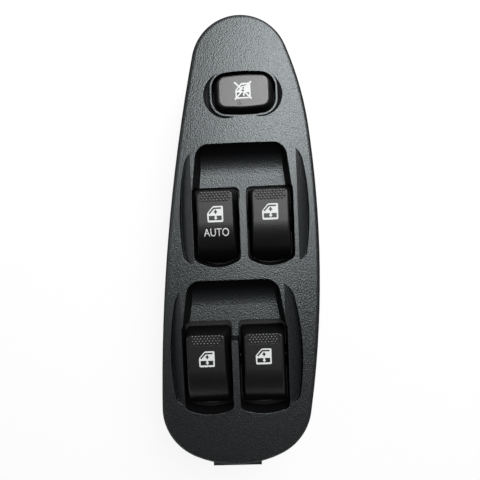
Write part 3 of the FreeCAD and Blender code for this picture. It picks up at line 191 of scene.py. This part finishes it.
plasticLooks = {
    "trimPlastic": {"dark": (0.0030, 0.0034, 0.0038), "light": (0.0060, 0.0066, 0.0072), "roughness": 0.355,
                    "gloss": 1.0, "tint": (0.91, 0.98, 1.0), "grainSize": 0.50, "grainStrength": 0.9,
                    "grainDepth": 0.17, "edge": 0.3,
                    # wall: painted shade on the steep walls, a darker matt surface
                    "wall": {"colour": (0.003, 0.003, 0.0036), "roughness": 0.6, "gloss": 0.12,
                             "steep": (0.76, 0.965)}},
    "keyPlastic": {"dark": (0.0016, 0.0017, 0.0018), "light": (0.0030, 0.0031, 0.0032), "roughness": 0.38,
                   "gloss": 0.52, "grainSize": 0.35, "grainStrength": 0.12, "grainDepth": 0.02, "edge": 0.15,
                   # wall: painted shade on the steep sides of the keys
                   "wall": {"colour": (0.0015, 0.0015, 0.0016), "roughness": 0.6, "gloss": 0.12,
                            "steep": (0.5, 0.85)}},
    # grip bumps: the key's own black plastic made lighter, painted highlight
    "gripPlasticPaintedHighlight": {"dark": (0.010, 0.010, 0.0105), "light": (0.016, 0.016, 0.0165), "roughness": 0.34,
                    "gloss": 0.9, "grainSize": 0.35, "grainStrength": 0.1, "grainDepth": 0.02},
    "lockPlastic": {"dark": (0.006, 0.0062, 0.0066), "light": (0.009, 0.0093, 0.0098), "roughness": 0.34,
                    "gloss": 0.8, "grainSize": 0.4, "grainStrength": 0.08, "grainDepth": 0.02, "edge": 0.2},
    "bodyPlastic": {"dark": (0.016, 0.016, 0.017), "light": (0.028, 0.028, 0.03), "roughness": 0.5,
                    "gloss": 0.45, "grainSize": 0.5, "grainStrength": 0.3, "grainDepth": 0.06},
    "naturalPlastic": {"dark": (0.55, 0.53, 0.47), "light": (0.68, 0.66, 0.6), "roughness": 0.45,
                       "gloss": 0.5, "grainSize": 0.5, "grainStrength": 0.15, "grainDepth": 0.04},
    "relayPlastic": {"dark": (0.012, 0.012, 0.013), "light": (0.02, 0.02, 0.021), "roughness": 0.25,
                     "gloss": 0.5, "grainSize": 0.8, "grainStrength": 0.08, "grainDepth": 0.03},
    "boardLaminate": {"dark": (0.02, 0.11, 0.045), "light": (0.035, 0.16, 0.06), "roughness": 0.32,
                      "gloss": 0.5, "grainSize": 0.9, "grainStrength": 0.12, "grainDepth": 0.03},
    "signPaint": {"dark": (0.53, 0.54, 0.54), "light": (0.62, 0.63, 0.63), "roughness": 0.5,
                  "gloss": 0.4, "grainSize": 0.3, "grainStrength": 0.1, "grainDepth": 0.02}}
metalLooks = {
    "springSteel": {"dark": (0.42, 0.42, 0.44), "light": (0.6, 0.6, 0.62), "roughness": 0.34},
    "contactCopper": {"dark": (0.6, 0.33, 0.2), "light": (0.78, 0.48, 0.3), "roughness": 0.3},
    "pinMetal": {"dark": (0.66, 0.58, 0.38), "light": (0.8, 0.72, 0.5), "roughness": 0.28},
    "capacitorCan": {"dark": (0.5, 0.5, 0.52), "light": (0.66, 0.66, 0.68), "roughness": 0.3}}
finishes = {name: plastic(name, look) for name, look in plasticLooks.items()}
finishes.update({name: metal(name, look) for name, look in metalLooks.items()})
slotFinishes = {"trim_plastic": "trimPlastic", "key_plastic": "keyPlastic", "body_plastic": "bodyPlastic",
                "guide_plastic": "naturalPlastic", "relay_plastic": "relayPlastic",
                "chip_plastic": "relayPlastic", "board": "boardLaminate", "copper": "contactCopper",
                "pin_brass": "pinMetal", "spring_steel": "springSteel", "screw_steel": "springSteel",
                "capacitor_can": "capacitorCan"}
ownFinishes = {"lock_button": "lockPlastic"}  # nodes that don't take their slot's finish

for part in frame["record"]["subparts"]:
    mesh = frame["nodes"][part["node"]].data
    mesh.materials.clear()
    mesh.materials.append(finishes[ownFinishes.get(part["node"], slotFinishes[part["material_slot"]])])


# Mesh tools

def finished(name, shape, looks, body):
    bmesh.ops.recalc_face_normals(shape, faces=shape.faces)
    mesh = bpy.data.meshes.new(name)
    shape.to_mesh(mesh)
    shape.free()
    for look in looks:
        mesh.materials.append(finishes[look])
    piece = bpy.data.objects.new(name, mesh)
    bpy.context.scene.collection.objects.link(piece)
    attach(piece, body)


def plate(shape, outline, centre, width, top, rise, material):  # a thin closed plate, standing rise over top
    low = top - plateRise["sunk"] / 1000
    corners = [shape.verts.new(((centre[0] + x * width) / 1000, (centre[1] + y * width) / 1000, low))
               for x, y in outline]
    face = shape.faces.new(corners)
    face.material_index = material
    grown = bmesh.ops.extrude_face_region(shape, geom=[face])
    lifted = [item for item in grown["geom"] if isinstance(item, bmesh.types.BMVert)]
    bmesh.ops.translate(shape, verts=lifted, vec=(0, 0, (plateRise["sunk"] + rise) / 1000))
    for vert in lifted + corners:
        for side in vert.link_faces:
            side.material_index = material


def softened(points, radius, steps=4):  # rounds the corners of an outline
    outline = []
    for number, corner in enumerate(points):
        here = Vector(corner)
        before = Vector(points[number - 1])
        after = Vector(points[(number + 1) % len(points)])
        start = here + (before - here).normalized() * radius
        stop = here + (after - here).normalized() * radius
        for step in range(steps + 1):
            part = step / steps
            outline.append(tuple((1 - part) ** 2 * start + 2 * part * (1 - part) * here + part ** 2 * stop))
    return outline


# Window signs on the keys: outlines in parts of the width, places and width in mm

plateRise = {"sunk": 0.05, "door": 0.02, "dark": 0.04, "downArrow": 0.06, "bars": 0.08, "marks": 0.01}
white, dark = 0, 1  # places of the two finishes on a sign
windowSign = {"width": 6.9, "soft": 0.09,
              "door": [(-0.48, -0.50), (0.49, -0.50), (0.5, 0.50), (-0.12, 0.50), (-0.5, 0.06)],
              "band": [(-0.40, -0.38), (0.40, -0.38), (0.40, -0.10), (-0.40, -0.10)], "bandSoft": 0.02,
              "line": [(-0.415, 0.065), (-0.335, 0.02), (-0.055, 0.315), (0.38, 0.315), (0.38, 0.41),
                       (-0.10, 0.41)],
              "up": {"x": 0.03, "foot": 0.02, "neck": 0.10, "tip": 0.29, "stem": 0.045, "head": 0.13},
              "down": {"x": 0.03, "foot": -0.06, "neck": -0.22, "tip": -0.36, "stem": 0.052, "head": 0.115},
              "places": {"auto": (-8.1, 15.4), "front": (15.4, 15.6), "rear_left": (-14.4, -47.3),
                         "rear_right": (10.3, -46.8)}}


def arrow(size):
    x, stem, head = size["x"], size["stem"], size["head"]
    foot, neck = size["foot"], size["neck"]
    return [(x - stem, foot), (x + stem, foot), (x + stem, neck), (x + head, neck), (x, size["tip"]),
            (x - head, neck), (x - stem, neck)]


def windowPlates(centre, top, sign):
    shape = bmesh.new()
    layers = [(softened(sign["door"], sign["soft"]), "door", white),
              (softened(sign["band"], sign["bandSoft"]), "dark", dark),
              (sign["line"], "dark", dark),
              (arrow(sign["up"]), "dark", dark),
              (arrow(sign["down"]), "downArrow", white)]
    for outline, rise, material in layers:
        plate(shape, outline, centre, sign["width"], top, plateRise[rise], material)
    return shape


for key, centre in windowSign["places"].items():
    shape = windowPlates(centre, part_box(f"{key}_window_key")[1].z, windowSign)
    finished(f"{key}WindowSign", shape, ["signPaint", "keyPlastic"], f"{key}_key")
print("window signs done")


# Word on the automatic key

autoWord = {"text": "AUTO", "centre": (-7.9, 7.6), "width": 10.8, "height": 3.4, "slices": 12, "rise": 0.03,
            "node": "auto_window_key"}


def wordMesh(word):
    text = bpy.data.curves.new("autoText", "FONT")
    text.body = word["text"]
    text.align_x = "CENTER"
    text.align_y = "CENTER"
    holder = bpy.data.objects.new("autoText", text)
    bpy.context.scene.collection.objects.link(holder)
    bpy.context.view_layer.update()
    mesh = bpy.data.meshes.new_from_object(holder.evaluated_get(bpy.context.evaluated_depsgraph_get()))
    bpy.data.objects.remove(holder)
    return mesh


def drapedWord(word):
    shape = bmesh.new()
    shape.from_mesh(wordMesh(word))
    low = Vector((min(v.co.x for v in shape.verts), min(v.co.y for v in shape.verts), 0))
    high = Vector((max(v.co.x for v in shape.verts), max(v.co.y for v in shape.verts), 0))
    width, height = word["width"] / 1000, word["height"] / 1000
    x, y = word["centre"][0] / 1000, word["centre"][1] / 1000
    bmesh.ops.translate(shape, verts=shape.verts, vec=-(low + high) / 2)
    bmesh.ops.scale(shape, verts=shape.verts, vec=(width / (high.x - low.x), height / (high.y - low.y), 1))
    bmesh.ops.translate(shape, verts=shape.verts, vec=(x, y, 0))
    for cut in range(1, word["slices"]):  # enough cuts to follow the curved key
        bmesh.ops.bisect_plane(shape, geom=shape.verts[:] + shape.edges[:] + shape.faces[:], dist=1e-7,
                               plane_co=(0, y - height / 2 + cut * height / word["slices"], 0),
                               plane_no=(0, 1, 0))
    drape(shape, word["node"], word["rise"] / 1000)
    return shape


def drape(shape, node, lift):  # lays flat faces on the node below them
    solid = frame["nodes"][node]
    for vert in shape.verts:
        hit, place, normal, number = solid.ray_cast(Vector((vert.co.x, vert.co.y, 0.1)), Vector((0, 0, -1)))
        vert.co.z = place.z + lift


finished("autoWord", drapedWord(autoWord), ["signPaint"], "auto_key")
print("word done")


# Grips on the lips of the keys

grip = {"rows": 4, "columns": 9, "pitch": 1.45, "step": 1.07, "first": 0.5, "radius": 0.6, "rise": 0.42,
        "sunk": 0.5, "segments": (10, 8),
        "lips": {"auto": (-8.05, 25.1), "front": (15.55, 25.1), "rear_left": (-14.6, -37.0),
                 "rear_right": (10.4, -37.0)}}


def gripBumps(lip, top, size):
    shape = bmesh.new()
    around, upward = size["segments"]
    base = top - size["sunk"] / 1000
    for row in range(size["rows"]):
        count = size["columns"] - row % 2  # every other row is staggered
        for column in range(count):
            x = lip[0] + size["pitch"] * (column - (count - 1) / 2)
            y = lip[1] - size["first"] - size["step"] * row
            dome = bmesh.ops.create_uvsphere(shape, u_segments=around, v_segments=upward,
                                             radius=size["radius"] / 1000)["verts"]
            bmesh.ops.scale(shape, verts=dome, vec=(1, 1, size["rise"] / size["radius"]))
            bmesh.ops.translate(shape, verts=dome, vec=(x / 1000, y / 1000, base))
    for face in shape.faces:
        face.smooth = True
    return shape


for key, lip in grip["lips"].items():
    bumps = gripBumps(lip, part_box(f"{key}_window_key")[1].z, grip)
    # the bumps take a lighter copy of the key plastic: painted highlight
    finished(f"{key}Grip", bumps, ["gripPlasticPaintedHighlight"], f"{key}_key")
print("grips done")


# Lock button: a window crossed out, with a faint scratch and a speck; marks in mm

lockSign = {"width": 6.5, "soft": 0.11, "centre": (5.8, 67.2),
            "door": [(-0.49, -0.51), (0.5, -0.49), (0.5, 0.5), (-0.10, 0.51), (-0.5, 0.05)],
            "band": [(-0.40, -0.40), (0.40, -0.40), (0.40, -0.11), (-0.40, -0.11)], "bandSoft": 0.02,
            "line": [(-0.39, 0.05), (-0.34, 0.01), (-0.06, 0.30), (0.26, 0.36), (0.26, 0.40), (-0.07, 0.375)],
            "up": {"x": 0.04, "foot": 0.06, "neck": 0.15, "tip": 0.27, "stem": 0.04, "head": 0.085},
            "down": {"x": 0.055, "foot": -0.10, "neck": -0.25, "tip": -0.38, "stem": 0.045, "head": 0.09},
            "bars": [((-0.545, 0.567), (0.552, -0.53)), ((0.552, 0.58), (-0.54, -0.545))], "barWidth": 0.105}
lockMarks = {"speck": (14.0, 72.1), "speckWidth": 0.35, "speckSoft": 0.9,
             "scratch": [((3.3, 61.6), (4.0, 63.2)), ((4.0, 63.2), (4.9, 61.7)), ((4.9, 61.7), (3.3, 61.6))],
             "scratchWidth": 0.22}


def stroke(first, last, width):
    first, last = Vector(first), Vector(last)
    across = (last - first).orthogonal().normalized() * width / 2
    return [tuple(first - across), tuple(last - across), tuple(last + across), tuple(first + across)]


def crossedWindow(sign, top):
    shape = windowPlates(sign["centre"], top, sign)
    for first, last in sign["bars"]:
        bar = stroke(first, last, sign["barWidth"])
        plate(shape, bar, sign["centre"], sign["width"], top, plateRise["bars"], white)
    return shape


def wornMarks(marks, top):
    shape = bmesh.new()
    x, y = marks["speck"]
    half = marks["speckWidth"] / 2
    speck = [(x - half, y - half), (x + half, y - half), (x + half, y + half), (x - half, y + half)]
    outlines = [stroke(first, last, marks["scratchWidth"]) for first, last in marks["scratch"]]
    outlines.append(softened(speck, half * marks["speckSoft"]))
    for outline in outlines:
        plate(shape, outline, (0, 0), 1, top, plateRise["marks"], 0)
    return shape


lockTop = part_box("lock_button")[1].z
finished("lockSign", crossedWindow(lockSign, lockTop), ["signPaint", "keyPlastic"], "lock_body")
finished("lockMarks", wornMarks(lockMarks, lockTop), ["keyPlastic"], "lock_body")
print("lock sign done")


# Studio: floor, world, lamps and camera

studio = {"floorHalf": 0.9, "floorDrop": 0.0002, "floorTone": 0.86, "floorRoughness": 0.9,
          "floorWhite": 0.84, "skyStrength": 0.06, "skyEdge": (0.02, 0.12)}
lamps = {"softLamp": {"place": (0.201, 0.372, 0.654), "aim": (0.0, 0.0, 0.035), "size": (0.47, 0.92),
                      "radiance": 7.6},
         "leftLamp": {"place": (-0.60, 0.05, 0.38), "aim": (0.0, 0.0, 0.035), "size": (0.3, 0.6),
                      "radiance": 1.1}}


def stageFloor():  # close to white in the picture, still with the object's shadow
    floor = Finish(bpy.data.materials.new("studioFloor"))
    tone = studio["floorTone"]
    floor.setSurface({"Base Color": (tone, tone, tone, 1), "Roughness": studio["floorRoughness"]})
    seen = (floor.ray("Camera") + floor.ray("Glossy") + floor.ray("Transmission")) * studio["floorWhite"]
    above = floor.mixShaders(seen, floor.shader(), floor.node("ShaderNodeEmission", {}, {}))
    # From below, the floor doesn't hide the switch
    below = floor.node("ShaderNodeNewGeometry", {}, {}, "Backfacing")
    floor.show(floor.mixShaders(below, above, floor.node("ShaderNodeBsdfTransparent", {}, {})))
    return floor.owner


def makeFloor():
    shape = bmesh.new()
    bmesh.ops.create_grid(shape, x_segments=1, y_segments=1, size=studio["floorHalf"])
    bmesh.ops.translate(shape, verts=shape.verts, vec=(0, 0, -studio["floorDrop"]))  # clear of the cover
    mesh = bpy.data.meshes.new("studioFloor")
    shape.to_mesh(mesh)
    shape.free()
    mesh.materials.append(stageFloor())
    floor = bpy.data.objects.new("studioFloor", mesh)
    bpy.context.scene.collection.objects.link(floor)


def makeWorld():  # white backdrop, and low down white in reflections too
    sky = Finish(bpy.data.worlds.new("studioWorld"), "Background")
    way = sky.heightOf(sky.node("ShaderNodeTexCoord", {}, {}, "Generated"))
    backdrop = 1 - sky.spread(way, *studio["skyEdge"])
    seen = sky.ray("Camera") + sky.ray("Transmission") + sky.ray("Glossy") * backdrop
    strength = sky.spread(seen, 0.0, 1.0, studio["skyStrength"], 1.0)
    sky.setSurface({"Color": (1, 1, 1, 1), "Strength": strength})
    bpy.context.scene.world = sky.owner


def makeLamp(name, lamp):
    light = bpy.data.lights.new(name, "AREA")
    light.shape = "RECTANGLE"
    light.size, light.size_y = lamp["size"]
    light.energy = lamp["radiance"] * math.pi * light.size * light.size_y
    holder = bpy.data.objects.new(name, light)
    holder.location = lamp["place"]
    holder.rotation_euler = (Vector(lamp["aim"]) - Vector(lamp["place"])).to_track_quat("-Z", "Y").to_euler()
    bpy.context.scene.collection.objects.link(holder)


# The photo's camera: pixels in the photo, lengths in mm, foot where it looks straight down
view = {"focalPixels": 430.0, "framePixels": 480.0, "foot": (252.0, 221.0), "roll": 2.3, "height": 189.0,
        "target": (1.93, 3.69, 36.0), "sensor": 36.0, "clipStart": 0.01}


def makeCamera(view):
    middle = view["framePixels"] / 2
    normal = Vector((middle - view["foot"][0], view["foot"][1] - middle, view["focalPixels"])).normalized()
    roll = math.radians(view["roll"])
    right = Vector((math.cos(roll), math.sin(roll), 0))
    right = (right - normal * right.dot(normal)).normalized()
    up = normal.cross(right)
    axes = Matrix((right, up, normal))  # rows: the part's axes in camera terms
    distance = view["height"] / normal.z
    place = Vector(view["target"]) + distance * Vector((right.z, up.z, normal.z))
    camera = bpy.data.cameras.new("photoCamera")
    camera.sensor_width = view["sensor"]
    camera.sensor_fit = "HORIZONTAL"
    camera.lens = view["sensor"] * view["focalPixels"] / view["framePixels"]
    camera.clip_start = view["clipStart"]
    holder = bpy.data.objects.new("photoCamera", camera)
    holder.matrix_world = Matrix.Translation(place / 1000) @ axes.to_4x4()
    bpy.context.scene.collection.objects.link(holder)
    bpy.context.scene.camera = holder


makeFloor()
makeWorld()
for name, lamp in lamps.items():
    makeLamp(name, lamp)
makeCamera(view)
bpy.context.scene.view_settings.view_transform = "Standard"
print("studio ready")
